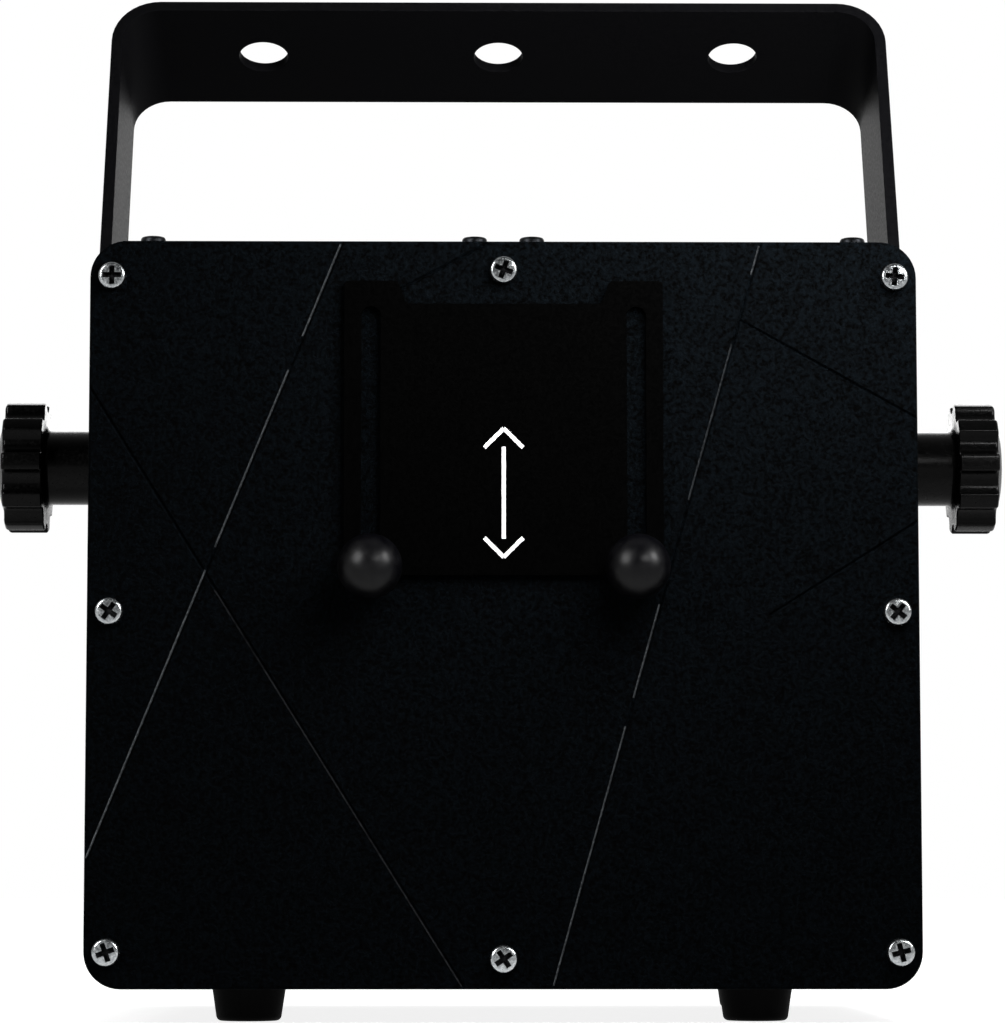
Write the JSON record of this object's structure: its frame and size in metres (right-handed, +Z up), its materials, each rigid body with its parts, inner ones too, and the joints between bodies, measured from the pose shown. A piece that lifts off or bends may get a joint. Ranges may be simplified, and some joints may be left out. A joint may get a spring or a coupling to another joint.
{
  "type": "laser show projector",
  "caption": "Small black stage laser: box housing on rubber feet, bent hanging bracket with fluted clamp knobs, and a sliding slotted shutter over the beam aperture.",
  "frame": {"origin": "on the floor under the feet, at the middle of the whole width and length", "axes": "+Z up, -Y out of the front plate along the beam, +X to the viewer's right as the front is faced"},
  "size_m": [0.2324, 0.1782, 0.2438],
  "materials": {
    "plate_coat": "fine-textured black powder coat",
    "shell_coat": "fine-textured black powder coat",
    "shutter_coat": "smooth satin black",
    "bracket_coat": "satin black powder coat",
    "bright_screw": "bright zinc plate",
    "black_screw": "black oxide",
    "steel": "plain turned steel",
    "knob_plastic": "moulded black nylon",
    "ball_plastic": "polished black phenolic",
    "foot_rubber": "moulded black rubber",
    "washer_rubber": "black rubber",
    "window_glass": "clear coated glass",
    "mirror_glass": "coated mirror",
    "bench_alloy": "machined aluminium",
    "black_alloy": "black anodised aluminium",
    "board": "green solder mask",
    "component": "moulded component cases",
    "socket_plastic": "moulded black plastic",
    "button_plastic": "moulded black plastic",
    "contact_brass": "plated brass",
    "nickel": "nickel plate",
    "fan_plastic": "moulded black plastic",
    "display_glass": "dark red acrylic",
    "display_face": "black display block"
  },
  "bodies": {
    "housing": {"front_plate": "plate_coat", "aperture_window": "window_glass", "window_frame": "black_alloy", "base_tray": "shell_coat", "top_cover": "shell_coat", "cover_cleats": "shell_coat", "rubber_feet": "foot_rubber", "threaded_inserts": "steel", "friction_washers": "washer_rubber", "bench_plate": "bench_alloy", "bench_rails": "shell_coat", "blue_laser": "black_alloy", "green_laser": "bench_alloy", "red_laser": "black_alloy", "combiner_mirrors": "mirror_glass", "mirror_holders": "black_alloy", "galvo_block": "bench_alloy", "galvo_motors": "steel", "power_board": "board", "main_board": "board", "driver_board": "board", "board_standoffs": "contact_brass", "board_parts": "component", "fan_frame": "fan_plastic", "fan_guard": "nickel", "fan_screws": "black_screw", "mains_inlet": "socket_plastic", "dmx_input": "nickel", "dmx_output": "nickel", "interlock_socket": "nickel", "key_lock": "nickel", "control_board": "board", "display_window": "display_glass", "display_module": "display_face", "button_switches": "component", "sensitivity_pot": "steel", "safety_eye": "black_screw", "contact_pins": "contact_brass", "rear_panel": "shell_coat", "front_screws": "bright_screw", "rear_screws": "black_screw", "pan_screws": "black_screw"},
    "bracket": {"bracket": "bracket_coat"},
    "left_knob": {"left_clamp_knob": "knob_plastic", "left_knob_stud": "steel"},
    "right_knob": {"right_clamp_knob": "knob_plastic", "right_knob_stud": "steel"},
    "shutter": {"shutter_plate": "shutter_coat"},
    "left_ball": {"left_ball_knob": "ball_plastic"},
    "right_ball": {"right_ball_knob": "ball_plastic"},
    "key": {"key": "nickel"},
    "sensitivity_knob": {"sensitivity_knob": "button_plastic"},
    "fuse_drawer": {"fuse_drawer": "socket_plastic"},
    "fan_rotor": {"fan_rotor": "fan_plastic"},
    "x_scanner": {"x_scan_mirror": "mirror_glass"},
    "y_scanner": {"y_scan_mirror": "mirror_glass"},
    "button_1": {"button_1": "button_plastic"},
    "button_2": {"button_2": "button_plastic"},
    "button_3": {"button_3": "button_plastic"},
    "button_4": {"button_4": "button_plastic"}
  },
  "joints": [
    {"name": "bracket_tilt", "type": "hinge", "parent": "housing", "child": "bracket", "pos_m": [0, -0.01493, 0.126], "axis": [-1, 0, 0], "range_deg": [-154, 81]},
    {"name": "left_knob_turn", "type": "hinge", "parent": "housing", "child": "left_knob", "pos_m": [-0.0938, -0.01493, 0.126], "axis": [-1, 0, 0], "range_deg": [0, 360]},
    {"name": "right_knob_turn", "type": "hinge", "parent": "housing", "child": "right_knob", "pos_m": [0.0938, -0.01493, 0.126], "axis": [1, 0, 0], "range_deg": [0, 360]},
    {"name": "shutter_slide", "type": "slide", "parent": "housing", "child": "shutter", "axis": [0, 0, -1], "range_m": [0, 0.055]},
    {"name": "left_ball_turn", "type": "hinge", "parent": "housing", "child": "left_ball", "pos_m": [-0.0288, -0.08207, 0.0976], "axis": [0, -1, 0], "range_deg": [0, 360]},
    {"name": "right_ball_turn", "type": "hinge", "parent": "housing", "child": "right_ball", "pos_m": [0.0288, -0.08207, 0.0976], "axis": [0, -1, 0], "range_deg": [0, 360]},
    {"name": "key_turn", "type": "hinge", "parent": "housing", "child": "key", "pos_m": [-0.058, 0.06507, 0.0753], "axis": [0, -1, 0], "range_deg": [0, 90]},
    {"name": "sensitivity_turn", "type": "hinge", "parent": "housing", "child": "sensitivity_knob", "pos_m": [-0.028, 0.06507, 0.0753], "axis": [0, -1, 0], "range_deg": [-150, 150]},
    {"name": "fuse_drawer_slide", "type": "slide", "parent": "housing", "child": "fuse_drawer", "axis": [0, 1, 0], "range_m": [0, 0.016]},
    {"name": "fan_spin", "type": "hinge", "parent": "housing", "child": "fan_rotor", "pos_m": [0.044, 0.06357, 0.1023], "axis": [0, 1, 0], "continuous": true},
    {"name": "x_scan", "type": "hinge", "parent": "housing", "child": "x_scanner", "pos_m": [0, -0.05293, 0.1188], "axis": [0, 1, 0], "range_deg": [-15, 15], "stiffness_Nm_per_rad": 0.002},
    {"name": "y_scan", "type": "hinge", "parent": "housing", "child": "y_scanner", "pos_m": [0, -0.05293, 0.1308], "axis": [1, 0, 0], "range_deg": [-15, 15], "stiffness_Nm_per_rad": 0.002},
    {"name": "button_1_press", "type": "slide", "parent": "housing", "child": "button_1", "axis": [0, -1, 0], "range_m": [0, 0.0008], "stiffness_N_per_m": 1200, "springref_m": -0.0003},
    {"name": "button_2_press", "type": "slide", "parent": "housing", "child": "button_2", "axis": [0, -1, 0], "range_m": [0, 0.0008], "stiffness_N_per_m": 1200, "springref_m": -0.0003},
    {"name": "button_3_press", "type": "slide", "parent": "housing", "child": "button_3", "axis": [0, -1, 0], "range_m": [0, 0.0008], "stiffness_N_per_m": 1200, "springref_m": -0.0003},
    {"name": "button_4_press", "type": "slide", "parent": "housing", "child": "button_4", "axis": [0, -1, 0], "range_m": [0, 0.0008], "stiffness_N_per_m": 1200, "springref_m": -0.0003}
  ]
}
